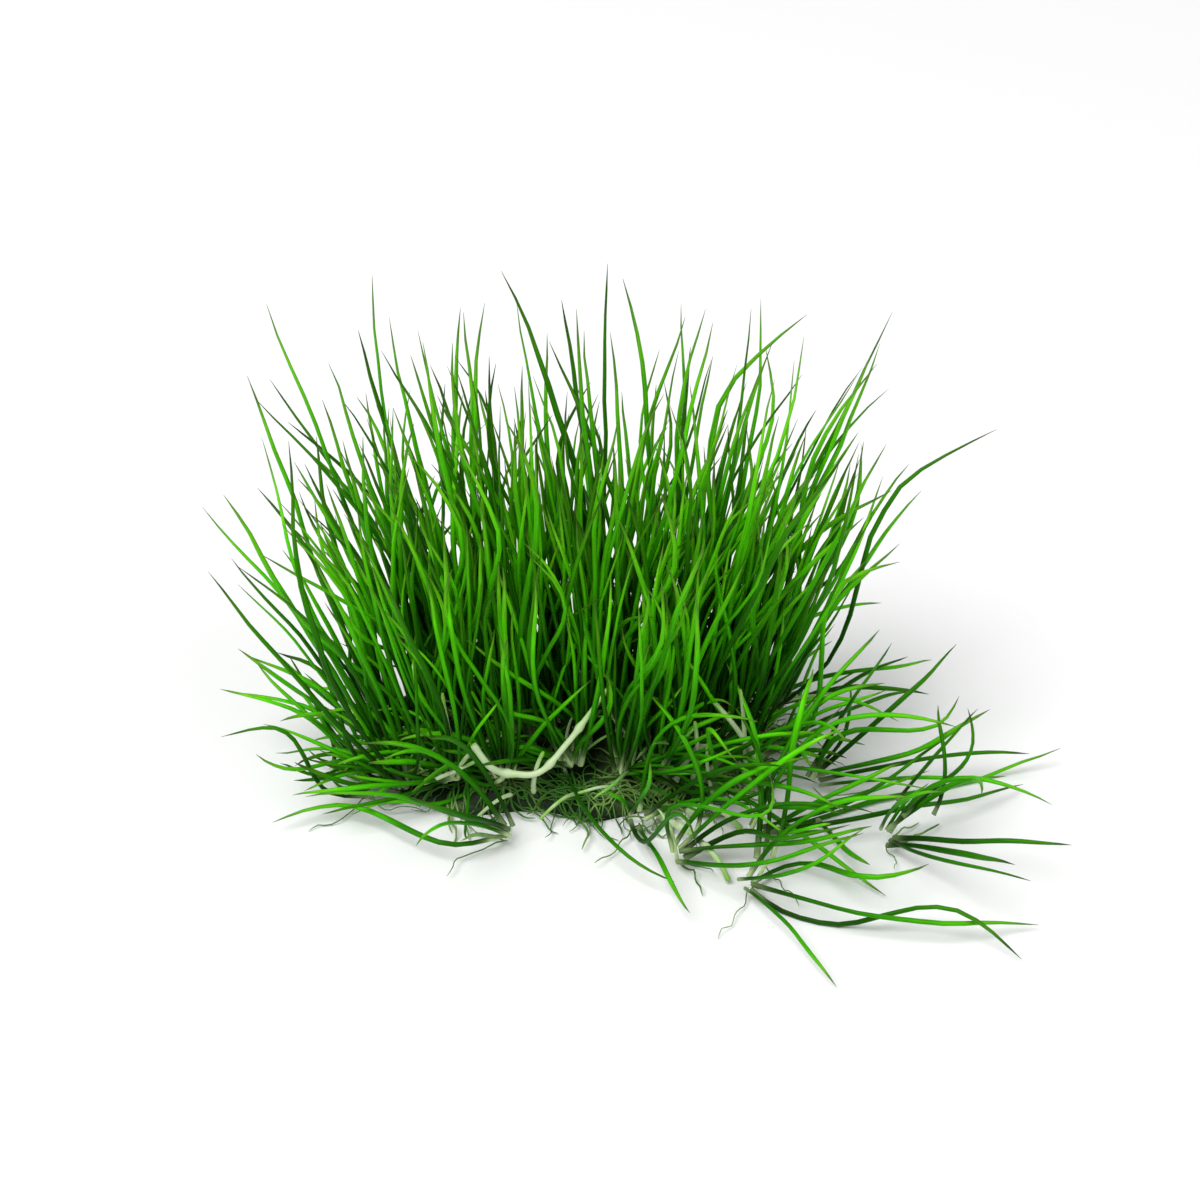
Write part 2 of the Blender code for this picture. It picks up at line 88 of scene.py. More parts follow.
# How blades grow. Lengths are in millimetres, and what bends or sways is a share of the blade's length.
# Two numbers are the least and the most, and a third is the likeliest.
GUIDE_POINTS = 9
HALF_WAVES = (1, 1, 2)  # a blade sways in one of these
GREEN = 0.0             # the paleness of a grown blade
BLADE_CLEARANCE = 1.1   # of a blade's radius, from its middle to the ground
UPRIGHT_TUFT = Kind(near=13, sway=1, shoots=1, longest_crossing=90, bow=0.22)
LYING_TUFT = Kind(near=16, sway=2.0, shoots=0.25, longest_crossing=22, bow=0.28)
SOLID_GIRTH = (0.85, 1.2)
FINE = Kind(between=(0.25, 0.75), length=(0.55, 1.05, 0.92), out=0.12, sway=0.06, girth=(0.65, 1.0))
CROSSING = Kind(start=(0, 0.3), end=(0.45, 0.95), shortest=6, bend=(0.35, 0.6), sway=0.06, girth=(0.65, 1.05))
SWEEPING = Kind(
    turn=0.9, reach=(8, 24), depth=0.6, rise=(0.5, 20, 5), bend=(0.35, 0.55), lift=(-0.35, 0.4), sway=0.08,
    girth=(0.75, 1.1),
)
SHOOT = Kind(lean=(35, 85), reach=(4, 11), bow=0.15, sway=0.05, girth=(0.6, 0.9), pale=(0.0, 0.3, 0.8))

# Where tufts have low, sweeping blades, and how many of them
FRONT = -13 * MM
NEAR_FRONT = -8 * MM
LEFT = -17 * MM
BACK = 3 * MM
FRONT_SHARE, BACK_SHARE, SIDE_SHARE = 1.0, 0.6, 0.3
FORE_LIMIT = -23 * MM  # they stay behind this

# How fine roots lie, in millimetres and radians
MAT_MIDDLE = Vector((-1, -4, 0)) * MM
MAT_HALF_WIDTH, MAT_FORE_DEPTH, MAT_REAR_DEPTH = 25, 14, 18.5
RIM_SHARE = 0.55       # of the roots, this share lies along the rim of the mat
RIM_ARCS = ((-2.4, -0.7), (0.4, 2.8), (-math.pi, math.pi))  # at the front, at the back and all round
RIM_REACH = (0.75, 1.0)
RIM_TURN, RIM_STRAY = 1.6, 0.8
ROOT_STEPS = 8
ROOT_STRAY, ROOT_BEND = 1.3, 0.6
ROOT_STEP, ROOT_LIFT, ROOT_GIRTH = (0.7, 1.7), (0, 0.9), (0.5, 1.3)
ROOT_CLEARANCE = 1.5   # of a root's radius
UPRIGHT_ROOTS = 4      # an upright tuft has this many times a lying one's roots

# Pale leaf bases and stems at the clump's front: foot, bend and tip in millimetres, and their girth
PALE_STEMS = (
    ((-9, -17.2, 3.4), (-9.2, -18.4, 7), (-7.6, -19, 11.4), 1.1),
    ((-19, -15.5, 5), (-20.5, -16.5, 12), (-21, -16, 19), 1.1),
    ((-24, -16.5, 4.5), (-20, -18.5, 7.5), (-16.5, -18, 9.4), 1.0),
    ((21.7, -13.5, 5.5), (18.6, -14.5, 12.5), (14.7, -12.5, 16), 1.35),
    ((19.8, -13, 5), (19.6, -14, 12), (18.8, -13, 17.5), 1.1),
    ((12.6, -15, 4), (13.4, -16, 9), (12.8, -15.5, 14), 1.1),
    ((15.5, -16.5, 2), (14.2, -17, 6.5), (14.4, -16.5, 11), 0.9),
    ((-12, -17, 3), (-14, -19, 4), (-17, -20.5, 1.2), 0.9),
    ((-3, -17, 3), (-4.5, -19, 5), (-8, -20.5, 1.5), 0.9),
    ((2, -16.5, 3.5), (1, -18.5, 6), (-3, -19.5, 5), 0.8),
)
STEM_POINTS = 6
STEM_GIRTH = 0.65      # of a runner's

# The root mat's surface, in millimetres
MAT_CUTS, MAT_ROUNDING = 3, 0.4
MAT_LUMPS = 600        # to the metre
MAT_RISE, MAT_SINK, MAT_FOOT = 0.6, 0.25, 0.2

# Shapes over a line's length, and finishes over it or over a blade's tone: share and value
BLADE_GIRTH = (
    (0, 0.9), (0.05, 0.8), (0.14, 0.72), (0.45, 0.82), (0.7, 0.76), (0.84, 0.57), (0.94, 0.34), (1, 0.05),
)
BLADE_FREEDOM = ((0, 0), (0.3, 0.5), (0.75, 1), (1, 0.3))
TUBE_GIRTH = ((0, 0.5), (0.04, 0.95), (0.5, 0.85), (0.9, 0.7), (1, 0.3))
LIGHT_TONES = ((0, 0.0), (0.3, 0.25), (0.7, 0.55), (1, 1.0))
BARE_FOOT = ((0, 1), (0.04, 0.75), (0.13, 0), (1, 0))
BARE_TONES = ((0, 0.3), (0.4, 0.45), (0.6, 1), (1, 1))
STEM_GREENING = ((0, 0.35), (0.08, 0), (0.6, 0), (0.9, 0.8), (1, 1))
# The first stop, on the lower part of each blade, is painted shade.
BLADE_STOPS = {"painted_shade_green": 0.1, "green": 0.42, "bright": 0.7, "yellowing": 0.86, "dry": 0.96}
PALE_STOPS = (0.42, 0.58, 0.74)

# Blades: their shape's own numbers, and tints by which their green is multiplied
WIDTH_OVER_RADIUS = 1.35
TWIST = 1.6            # radians over a blade's length
BLADE_SHIFT = 7.3      # sets the stray of one blade apart from the next one's
GRAIN_SHIFT = 31.0     # and its grain
LIGHT_TINT = (1.95, 1.8, 1.4)
DARK_TINT = (0.25, 0.3, 0.3)
DARK_BELOW, DARK_SHARE = 0.3, 0.7
# Painted light and shade: the grain's ridges are made lighter and its grooves darker.
RIDGE_PAINTED_LIGHT_TINT = (1.4, 1.5, 1.4)
GROOVE_PAINTED_SHADE_TINT = (0.4, 0.48, 0.4)
BLADE_LOOK = Kind(
    blotches=150.0, blotch_reach=0.18, detail=3.0, section=(1.6, 1.6, 1.0), stretch=5.0, ridges=2.2, contrast=1.6,
    roughness=0.3, roughness_range=0.25, ior=1.25, gloss_tint=(0.6, 1.0, 0.25, 1), relief=0.35, depth=0.08 * MM,
)

# Stems and roots
PALE_LOOK = Kind(
    patches=130.0, patch_detail=2.0, fine_detail=4.0, fine_share=0.25, roughness_range=0.2, gloss=0.4, relief=0.4,
    depth=0.1 * MM,
)
KNOT_SHARPNESS = 24.0
WANDER_DETAIL = 1.0

# The studio, in metres
PICTURE = 1200         # pixels
SENSOR = 36            # millimetres
CLIP = 0.01
KEY_PLACE, KEY_SIZE = (-0.75, -0.6, 1.65), 1.5
FILL_PLACE, FILL_SIZE, FILL_SHARE = (1.5, -1.05, 1.05), 1.8, 0.35
LIGHT_AIM = Vector((0, 0, 0.025))
FLOOR_ROUGHNESS, FLOOR_GLOSS = 0.9, 0.1
FLOOR_RADIUS, FLOOR_CORNERS = 6, 64
WHITE = (1, 1, 1, 1)


# Node trees

class Tree:
    """A node tree that is being built."""

    def __init__(self, nodes, links):
        self.nodes = nodes
        self.links = links

    def add(self, kind, inputs=None, **settings):
        node = self.nodes.new(kind)
        for key, value in settings.items():
            setattr(node, key, value)
        for key, value in (inputs or {}).items():
            self.feed(node.inputs[key], value)
        return node

    def feed(self, socket, value):
        if isinstance(value, bpy.types.NodeSocket):
            self.links.new(value, socket)
        else:
            socket.default_value = value

    def made(self, kind, inputs=None, **settings):
        return self.add(kind, inputs, **settings).outputs[0]

    def maths(self, operation, *values, clamp=False):
        return self.made("ShaderNodeMath", dict(enumerate(values)), operation=operation, use_clamp=clamp)

    def vector(self, operation, *values):
        return self.made("ShaderNodeVectorMath", dict(enumerate(values)), operation=operation)

    def scaled(self, value, scale):
        return self.made("ShaderNodeVectorMath", {0: value, "Scale": scale}, operation="SCALE")

    def swing(self, factor, size):
        """A factor round a half as a value round zero, of this size."""
        return self.maths("MULTIPLY", self.maths("SUBTRACT", factor, 0.5), size)

    def curve(self, factor, points):
        node = self.add("ShaderNodeFloatCurve", {"Value": factor})
        line = node.mapping.curves[0]
        while len(line.points) < len(points):
            line.points.new(0.5, 0.5)
        for point, (x, y) in zip(line.points, points):
            point.location = (x, y)
        node.mapping.update()
        return node.outputs[0]

    def ramp(self, factor, stops):
        node = self.add("ShaderNodeValToRGB", {"Fac": factor})
        elements = node.color_ramp.elements
        while len(elements) < len(stops):
            elements.new(0.5)
        for element, (position, colour) in zip(elements, stops):
            element.position = position
            element.color = (*colour, 1)
        return node.outputs[0]

    def mix(self, factor, first, second, blend="MIX"):
        node = self.add("ShaderNodeMix", data_type="RGBA", blend_type=blend)
        self.feed(node.inputs["Factor"], factor)
        for socket, value in ((node.inputs[6], first), (node.inputs[7], second)):
            self.feed(socket, (*value, 1) if isinstance(value, tuple) else value)
        return node.outputs[2]

    def tinted(self, colour, tint):
        return self.mix(1.0, colour, tint, "MULTIPLY")

    def noise(self, place, scale, detail, output="Fac"):
        node = self.add("ShaderNodeTexNoise", {"Vector": place, "Scale": scale, "Detail": detail})
        return node.outputs[output]

    def attribute(self, name, output="Fac"):
        """What guide_mesh or a growth tree has stored, for a material."""
        return self.add("ShaderNodeAttribute", attribute_name=name, attribute_type="GEOMETRY").outputs[output]

    def named(self, name):
        """What guide_mesh or a growth tree has stored, for a growth tree."""
        return self.made("GeometryNodeInputNamedAttribute", {"Name": name}, data_type="FLOAT")

    def stored(self, geometry, name, value, kind="FLOAT"):
        inputs = {"Geometry": geometry, "Name": name, "Value": value}
        return self.made("GeometryNodeStoreNamedAttribute", inputs, data_type=kind, domain="POINT")

    def position(self):
        return self.made("GeometryNodeInputPosition")


def finish_material(name):
    """A new material, its tree and its shader."""
    made = bpy.data.materials.new(name)
    made.use_nodes = True
    nodes = made.node_tree.nodes
    return made, Tree(nodes, made.node_tree.links), nodes["Principled BSDF"]


def growth_tree(name, inputs):
    """An empty Geometry Nodes tree with these named inputs, and its group's ends."""
    group = bpy.data.node_groups.new(name, "GeometryNodeTree")
    group.interface.new_socket("Geometry", in_out="INPUT", socket_type="NodeSocketGeometry")
    for label, kind, default in inputs:
        socket = group.interface.new_socket(label, in_out="INPUT", socket_type=f"NodeSocket{kind}")
        if default is not None:
            socket.default_value = default
    group.interface.new_socket("Geometry", in_out="OUTPUT", socket_type="NodeSocketGeometry")
    tree = Tree(group.nodes, group.links)
    return group, tree, tree.add("NodeGroupInput").outputs, tree.add("NodeGroupOutput")


def grown(name, lines, group, values):
    """The plain object that a tree grows on guide lines."""
    guides = guide_mesh(f"{name}_guides", lines)
    holder = bpy.data.objects.new(guides.name, guides)
    bpy.context.scene.collection.objects.link(holder)
    modifier = holder.modifiers.new("growth", "NODES")
    modifier.node_group = group
    for item in group.interface.items_tree:
        if item.in_out == "INPUT" and item.name in values:
            modifier[item.identifier] = values[item.name]
    depsgraph = bpy.context.evaluated_depsgraph_get()
    mesh = bpy.data.meshes.new_from_object(holder.evaluated_get(depsgraph), depsgraph=depsgraph)
    mesh.name = name
    holder.modifiers.remove(modifier)
    bpy.data.objects.remove(holder)
    bpy.data.meshes.remove(guides)
    return linked(name, mesh)


def linked(name, data):
    made = bpy.data.objects.new(name, data)
    bpy.context.scene.collection.objects.link(made)
    return made


def stands_for(piece, slot, *nodes):
    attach(piece, BODY)
    if nodes:
        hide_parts(*nodes)


# The solids' own lines

def solid_blades(node):
    """Each blade of a tuft's solid as the foot, bend and tip of its curve, traced from its tip inwards."""
    shape = welded(node.data)
    blades = []
    for tip in shape.verts:
        ring = {edge.other_vert(tip) for edge in tip.link_edges}
        if len(ring) != BLADE_CORNERS or widest_edge(ring) > RING_EDGE:
            continue
        known, rings = {tip}, [tip.co.copy()]
        while len(ring) == BLADE_CORNERS and widest_edge(ring) < RING_EDGE:
            rings.append(middle_of(ring))
            known |= ring
            ring = next_ring(ring, known)
        if len(ring) != BLADE_CORNERS:
            raise RuntimeError(f"{node.name}: a blade has no seat")
        rings.append(middle_of(ring))
        rings.reverse()
        foot, end, t = rings[0], rings[-1], BEND_RING[len(rings) - 1]
        bend = (rings[2] - foot * (1 - t) ** 2 - end * t**2) / (2 * t * (1 - t))
        blades.append((foot, bend, end))
    shape.free()
    return sorted(blades, key=lambda blade: tuple(round(value, SAME_PLACE) for value in blade[2]))


def runner_line(node):
    """The middle line of a runner's solid, ring by ring from its left end."""
    shape = welded(node.data)
    caps = [v for face in shape.faces if widest_edge(face.verts) < RING_EDGE for v in face.verts]
    start = min(caps, key=lambda v: v.co.x)
    ring = {v for v in caps if (v.co - start.co).length < RING_EDGE}
    known, line = set(), []
    while len(ring) == RUNNER_CORNERS:
        line.append(middle_of(ring))
        known |= ring
        ring = next_ring(ring, known)
    shape.free()
    if len(line) < 3:
        raise RuntimeError(f"{node.name}: no line found in it")
    return line


def welded(mesh):
    shape = bmesh.new()
    shape.from_mesh(mesh)
    bmesh.ops.remove_doubles(shape, verts=shape.verts, dist=WELD)
    return shape


def next_ring(ring, known):
    return {edge.other_vert(v) for v in ring for edge in v.link_edges} - known


def middle_of(ring):
    """The middle of a ring's corners, added up in one fixed order so that every run gives the same."""
    return sum(sorted((v.co for v in ring), key=tuple), Vector()) / len(ring)


def widest_edge(ring):
    ring = list(ring)
    return max((a.co - b.co).length for a in ring for b in ring)


def crown(blades):
    """The middle of a tuft's feet."""
    return sum((foot for foot, _, _ in blades), Vector()) / len(blades)


class Ground:
    """The floor with the root mat on it."""

    def __init__(self):
        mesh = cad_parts[MAT].data
        corners = [v.co.copy() for v in mesh.vertices]
        self.tree = BVHTree.FromPolygons(corners, [tuple(p.vertices) for p in mesh.polygons])

    def height(self, point):
        hit = self.tree.ray_cast(Vector((point.x, point.y, 1)), -UP)[0]
        return hit.z if hit else 0.0


# Guide lines

def guide_mesh(name, lines):
    """Lines as a mesh of edges, with each line's girth, tone and paleness on its points."""
    mesh = bpy.data.meshes.new(name)
    points, edges, girths, tones, pales = [], [], [], [], []
    for line in lines:
        first = len(points)
        points += [tuple(p) for p in line["points"]]
        count = len(line["points"])
        edges += [(first + k, first + k + 1) for k in range(count - 1)]
        girths += [line["girth"]] * count
        tones += [line["tone"]] * count
        pales += [line.get("pale", 0.0)] * count
    mesh.from_pydata(points, edges, [])
    for label, values in (("girth", girths), ("tone", tones), ("pale", pales)):
        mesh.attributes.new(label, "FLOAT", "POINT").data.foreach_set("value", values)
    return mesh


def bezier(foot, bend, tip, t):
    return foot * (1 - t) ** 2 + bend * (2 * t * (1 - t)) + tip * t**2


def sideways(rng):
    return Vector((rng.uniform(-1, 1), rng.uniform(-1, 1), 0))


def swayed(foot, bend, tip, sway, rng):
    """Points along a blade's curve, which sways to one side and back on its way."""
    along = (tip - foot).normalized()
    side = along.cross(Vector([rng.uniform(-1, 1) for _ in range(3)])).normalized()
    turns = rng.choice(HALF_WAVES) * math.pi
    points = []
    for k in range(GUIDE_POINTS):
        t = k / (GUIDE_POINTS - 1)
        points.append(bezier(foot, bend, tip, t) + side * sway * math.sin(turns * t))
    return points


def kept_off(points, ground, clearance):
    """The points, raised where they would be in the ground and kept within the solids' box."""
    low, high = SOLID_BOX
    made = []
    for k, point in enumerate(points):
        p = Vector([min(max(point[i], low[i] + clearance), high[i] - clearance) for i in range(3)])
        if k:
            p.z = max(p.z, ground.height(p) + clearance)
        made.append(p)
    return made


def own_blades(tuft, rng):
    """The blades of the tuft's solid."""
    for foot, bend, tip in tuft.blades:
        sway = rng.uniform(0, tuft.sizes.sway) * tuft.habit.sway
        yield foot, bend, tip, sway, rng.uniform(*SOLID_GIRTH), GREEN


def fine_blades(tuft, rng):
    """Thinner blades, each between two of the solid's."""
    for _ in range(tuft.sizes.fine_blades):
        first, second = rng.sample(tuft.blades, 2)
        between, length = rng.uniform(*FINE.between), rng.triangular(*FINE.length)
        foot, bend, tip = (a.lerp(b, between) for a, b in zip(first, second))
        tip = foot.lerp(tip, length)
        bend = foot.lerp(bend, length)
        out = sideways(rng) * (tip - foot).length * FINE.out
        yield foot, bend - out / 2, tip + out, FINE.sway, rng.uniform(*FINE.girth), GREEN


def crossing_blades(tuft, rng):
    """Blades that reach over to a blade of the next tuft."""
    for _ in range(tuft.sizes.crossing_blades if tuft.neighbours else 0):
        foot = bezier(*rng.choice(tuft.blades), rng.uniform(*CROSSING.start) if tuft.lying else 0)
        other = rng.choice(rng.choice(tuft.neighbours))
        tip = bezier(*other, rng.uniform(*CROSSING.end))
        reach = (tip - foot).length
        if not CROSSING.shortest * MM < reach < tuft.habit.longest_crossing * MM:
            continue
        bow = sideways(rng) * reach * tuft.habit.bow
        bend = foot.lerp(tip, rng.uniform(*CROSSING.bend)) + bow
        yield foot, bend, tip, CROSSING.sway, rng.uniform(*CROSSING.girth), GREEN


def sweeping_blades(tuft, rng):
    """Low blades that sweep out over the mat, most of them at the clump's front."""
    for _ in range(round(tuft.sizes.sweeping_blades * low_share(tuft.blades[0][0]))):
        foot = rng.choice(tuft.blades)[0]
        ahead = math.pi / 2 if foot.y > BACK else math.pi if foot.x < 0 else 0
        heading = ahead + rng.uniform(-SWEEPING.turn, SWEEPING.turn)
        reach = rng.uniform(*SWEEPING.reach) * MM
        tip = foot + Vector((math.cos(heading), math.sin(heading) * SWEEPING.depth, 0)) * reach
        tip.y = max(tip.y, FORE_LIMIT)
        tip.z = tuft.ground.height(tip) + rng.triangular(*SWEEPING.rise) * MM
        bend = foot.lerp(tip, rng.uniform(*SWEEPING.bend)) + UP * reach * rng.uniform(*SWEEPING.lift)
        yield foot, bend, tip, SWEEPING.sway, rng.uniform(*SWEEPING.girth), GREEN


def low_share(foot):
    """How many of the low blades a tuft has that grows here."""
    if foot.y < FRONT:
        return FRONT_SHARE
    if foot.y > BACK:
        return BACK_SHARE
    return SIDE_SHARE if foot.x < LEFT or foot.y < NEAR_FRONT else 0.0


def short_shoots(tuft, rng):
    """New shoots round the crown, some of them still pale."""
    for _ in range(round(tuft.sizes.short_shoots * tuft.habit.shoots)):
        foot = rng.choice(tuft.blades)[0]
        heading, lean = rng.uniform(0, math.tau), math.radians(rng.uniform(*SHOOT.lean))
        reach = rng.uniform(*SHOOT.reach) * MM
        out = math.sin(lean) * reach
        tip = foot + Vector((math.cos(heading) * out, math.sin(heading) * out, math.cos(lean) * reach))
        bend = foot.lerp(tip, 0.5) + UP * reach * SHOOT.bow
        yield foot, bend, tip, SHOOT.sway, rng.uniform(*SHOOT.girth), rng.choice(SHOOT.pale)


def tuft_lines(tuft, rng):
    """The guide lines of one tuft: its solid's blades, and those that are added to them."""
    lines = []
    clearance = tuft.sizes.blade_radius * BLADE_CLEARANCE
    upright = (own_blades, fine_blades, crossing_blades, sweeping_blades, short_shoots)
    for kind in (own_blades, crossing_blades, short_shoots) if tuft.lying else upright:
        for foot, bend, tip, sway, girth, pale in kind(tuft, rng):
            points = kept_off(swayed(foot, bend, tip, sway * (tip - foot).length, rng), tuft.ground, clearance)
            lines.append({"points": points, "girth": girth, "tone": rng.random(), "pale": pale})
    return lines


def root_lines(sizes, feet, ground, rng):
    """Roots that creep from the crowns over the mat and out past its edge, and along its rim."""
    lines = []
    clearance = sizes.root_radius * ROOT_CLEARANCE
    for _ in range(sizes.roots):
        point = rng.choice(feet).copy()
        heading = math.atan2(point.y - MAT_MIDDLE.y, point.x - MAT_MIDDLE.x)
        heading += rng.uniform(-ROOT_STRAY, ROOT_STRAY)
        if rng.random() < RIM_SHARE:
            angle = rng.choice([rng.uniform(*arc) for arc in RIM_ARCS])
            depth = MAT_FORE_DEPTH if angle < 0 else MAT_REAR_DEPTH
            rim = Vector((math.cos(angle) * MAT_HALF_WIDTH, math.sin(angle) * depth, 0))
            point = MAT_MIDDLE + rim * rng.uniform(*RIM_REACH) * MM
            heading = angle + rng.choice((-RIM_TURN, RIM_TURN)) + rng.uniform(-RIM_STRAY, RIM_STRAY)
        step = rng.uniform(*ROOT_STEP) * MM
        points = []
        for _ in range(ROOT_STEPS):
            point.z = ground.height(point) + clearance + rng.uniform(*ROOT_LIFT) * MM
            points.append(point.copy())
            heading += rng.uniform(-ROOT_BEND, ROOT_BEND)
            point += Vector((math.cos(heading), math.sin(heading), 0)) * step
        lines.append({
            "points": points, "girth": rng.uniform(*ROOT_GIRTH), "tone": rng.random(), "pale": rng.random(),
        })
    return lines


# Growth trees

def smooth_guides(tree, given):
    """The guide lines as smooth curves, with the share of its line that each point is at."""
    curve = tree.made("GeometryNodeMeshToCurve", {"Mesh": given["Geometry"]})
    curve = tree.made("GeometryNodeCurveSplineType", {"Curve": curve}, spline_type="CATMULL_ROM")
    curve = tree.made("GeometryNodeResampleCurve", {"Curve": curve, "Count": given["Steps"]})
    return tree.stored(curve, "along", tree.add("GeometryNodeSplineParameter").outputs["Factor"])


def strayed(tree, curve, given, shift, reach):
    """The curve, moved off its course by up to this reach, and off the floor."""
    place = tree.vector("ADD", tree.position(), shift)
    stray = tree.noise(place, given["Wander size"], WANDER_DETAIL, "Color")
    offset = tree.scaled(tree.vector("SUBTRACT", stray, (0.5, 0.5, 0.5)), reach)
    curve = tree.made("GeometryNodeSetPosition", {"Geometry": curve, "Offset": offset})
    place = tree.add("ShaderNodeSeparateXYZ", {"Vector": tree.position()}).outputs
    height = tree.maths("MAXIMUM", place["Z"], tree.maths("MULTIPLY", given["Radius"], given["Lowest"]))
    place = tree.made("ShaderNodeCombineXYZ", {"X": place["X"], "Y": place["Y"], "Z": height})
    return tree.made("GeometryNodeSetPosition", {"Geometry": curve, "Position": place})


def skinned(tree, curve, radius, ring, given, end):
    """A closed, smooth skin round the curve, from this ring at this radius, as what the tree gives."""
    curve = tree.made("GeometryNodeSetCurveRadius", {"Curve": curve, "Radius": radius})
    mesh = tree.made("GeometryNodeCurveToMesh", {
        "Curve": curve, "Profile Curve": ring, "Scale": tree.made("GeometryNodeInputRadius"), "Fill Caps": True,
    })
    mesh = tree.made("GeometryNodeSetShadeSmooth", {"Geometry": mesh})
    mesh = tree.made("GeometryNodeRealizeInstances", {"Geometry": mesh})
    mesh = tree.made("GeometryNodeSetMaterial", {"Geometry": mesh, "Material": given["Material"]})
    tree.links.new(mesh, end.inputs[0])


def unit_ring(tree, given):
    return tree.made("GeometryNodeCurvePrimitiveCircle", {"Resolution": given["Sides"], "Radius": 1.0})


def tube_tree(name):
    """Tubes on guide lines, with a swelling at each knot."""
    group, tree, given, end = growth_tree(name, (
        ("Radius", "Float", 0.4 * MM), ("Steps", "Int", 24), ("Sides", "Int", 6), ("Lowest", "Float", 1.4),
        ("Wander", "Float", 0.3 * MM), ("Wander size", "Float", 150.0), ("Knots", "Float", 3.0),
        ("Knot size", "Float", 0.35), ("Material", "Material", None),
    ))
    curve = smooth_guides(tree, given)
    curve = strayed(tree, curve, given, tree.named("tone"), given["Wander"])
    along = tree.named("along")
    wave = tree.maths("ABSOLUTE", tree.maths("COSINE", tree.maths("MULTIPLY", along, given["Knots"])))
    knot = tree.maths("MULTIPLY", tree.maths("POWER", wave, KNOT_SHARPNESS), given["Knot size"])
    radius = tree.maths("MULTIPLY", tree.maths("ADD", tree.curve(along, TUBE_GIRTH), knot), given["Radius"])
    radius = tree.maths("MULTIPLY", radius, tree.named("girth"))
    skinned(tree, curve, radius, unit_ring(tree, given), given, end)
    return group


def blade_tree():
    """Needle blades on guide lines: round to slightly flat, swollen at the foot and drawn out to a point."""
    group, tree, given, end = growth_tree("Needle blades", (
        ("Radius", "Float", 0.35 * MM), ("Steps", "Int", 16), ("Sides", "Int", 6), ("Lowest", "Float", 1.3),
        ("Flatness", "Float", 0.75), ("Wander", "Float", 0.4 * MM), ("Wander size", "Float", 60.0),
        ("Material", "Material", None),
    ))
    curve = smooth_guides(tree, given)
    tone, along = tree.named("tone"), tree.named("along")
    reach = tree.maths("MULTIPLY", given["Wander"], tree.curve(along, BLADE_FREEDOM))
    curve = strayed(tree, curve, given, tree.maths("MULTIPLY", tone, BLADE_SHIFT), reach)
    turn = tree.maths("ADD", tree.maths("MULTIPLY", tone, math.tau), tree.maths("MULTIPLY", along, TWIST))
    curve = tree.made("GeometryNodeSetCurveTilt", {"Curve": curve, "Tilt": turn})
    ring = unit_ring(tree, given)
    ring = tree.stored(ring, "section", tree.position(), "FLOAT_VECTOR")
    flat = tree.made("ShaderNodeCombineXYZ", {"X": 1.0, "Y": given["Flatness"], "Z": 1.0})
    ring = tree.made("GeometryNodeTransform", {"Geometry": ring, "Scale": flat})
    radius = tree.maths("MULTIPLY", tree.curve(along, BLADE_GIRTH), given["Radius"])
    girth = tree.maths("MULTIPLY", tree.named("girth"), WIDTH_OVER_RADIUS)
    skinned(tree, curve, tree.maths("MULTIPLY", radius, girth), ring, given, end)
    return group


# Materials

def blade_material(colours):
    """Living green blades: pale at the foot, deep green low down as painted shade, then bright green, and drying
    out at the tip.
    """
    made, tree, shader = finish_material("Living blade")
    look = BLADE_LOOK
    along, tone, pale = (tree.attribute(name) for name in ("along", "tone", "pale"))
    place = tree.add("ShaderNodeTexCoord").outputs["Object"]

    blotch = tree.noise(place, look.blotches, look.detail)
    reach = tree.maths("ADD", along, tree.swing(blotch, look.blotch_reach))
    stops = [(stop, tuple(getattr(colours, name))) for name, stop in BLADE_STOPS.items()]
    # The ramp's lowest green is painted shade on the blade's lower part.
    green = tree.ramp(reach, stops)
    green = tree.mix(tree.curve(tone, LIGHT_TONES), green, tree.tinted(green, LIGHT_TINT))
    dark = tree.maths("MULTIPLY", tree.maths("LESS_THAN", tone, DARK_BELOW), DARK_SHARE)
    green = tree.mix(dark, green, tree.tinted(green, DARK_TINT))
    bared = tree.maths("MULTIPLY", tree.curve(reach, BARE_FOOT), tree.curve(tone, BARE_TONES))
    green = tree.mix(tree.maths("MAXIMUM", pale, bared), green, tuple(colours.foot))

    section = tree.vector("MULTIPLY", tree.attribute("section", "Vector"), look.section)
    section = tree.vector("ADD", section, tree.maths("MULTIPLY", tone, GRAIN_SHIFT))
    stretch = tree.made("ShaderNodeCombineXYZ", {"Z": tree.maths("MULTIPLY", along, look.stretch)})
    grain = tree.noise(tree.vector("ADD", section, stretch), look.ridges, look.detail)
    # Painted highlight on the grain's ridges and painted shade in its grooves, from the same grain that sets the
    # bump.
    ridges = tree.maths("ADD", tree.swing(grain, look.contrast), 0.5, clamp=True)
    colour = tree.mix(ridges, tree.tinted(green, GROOVE_PAINTED_SHADE_TINT), tree.tinted(green, RIDGE_PAINTED_LIGHT_TINT))
    tree.feed(shader.inputs["Base Color"], colour)
    roughen(tree, shader, look.roughness, blotch, look.roughness_range)
    shader.inputs["IOR"].default_value = look.ior
    shader.inputs["Specular Tint"].default_value = look.gloss_tint
    bump(tree, shader, grain, look)
    return made


